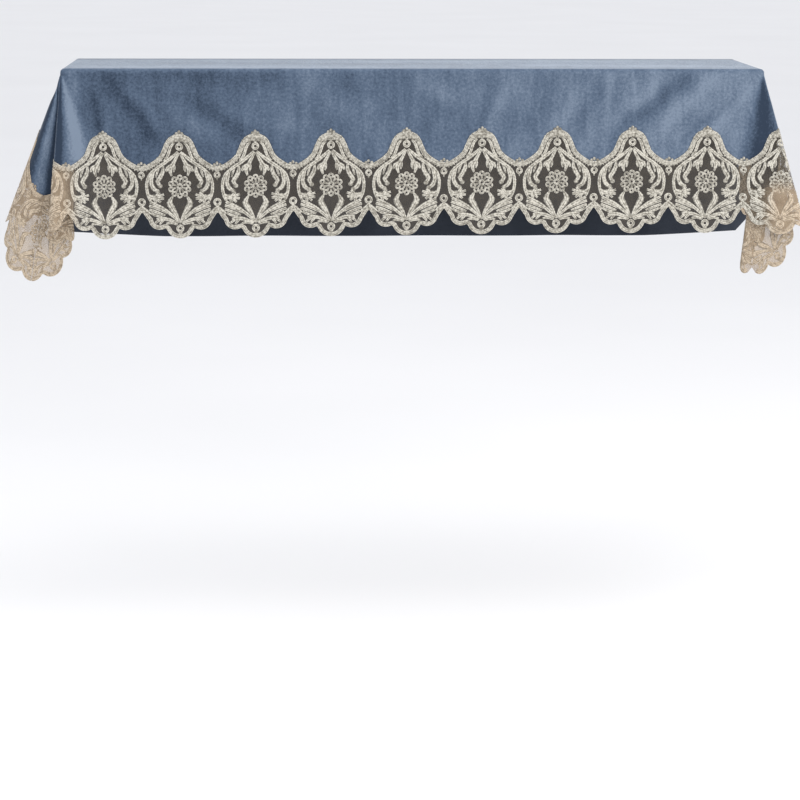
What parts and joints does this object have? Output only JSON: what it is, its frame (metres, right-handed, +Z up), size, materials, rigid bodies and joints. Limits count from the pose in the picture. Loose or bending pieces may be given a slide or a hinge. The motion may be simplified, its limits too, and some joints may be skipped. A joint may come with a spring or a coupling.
{
  "type": "piano top cover",
  "caption": "Velvet cover that drapes over the top of an upright piano, with a wide openwork lace trim along its front and sides and a plain hemmed back.",
  "frame": {"origin": "middle of the underside of the part of the cloth that lies flat on the top", "axes": "+Z up, +X to the right along the width, -Y towards the front with the lace"},
  "size_m": [1.7225, 0.4953, 0.4542],
  "materials": {
    "velvet": "short mottled pile with a soft sheen",
    "lace": "matt cream thread on a sheer net"
  },
  "bodies": {
    "root": {"velvet_cloth": "velvet", "lace_front": "lace", "lace_left": "lace", "lace_right": "lace"}
  },
  "joints": []
}
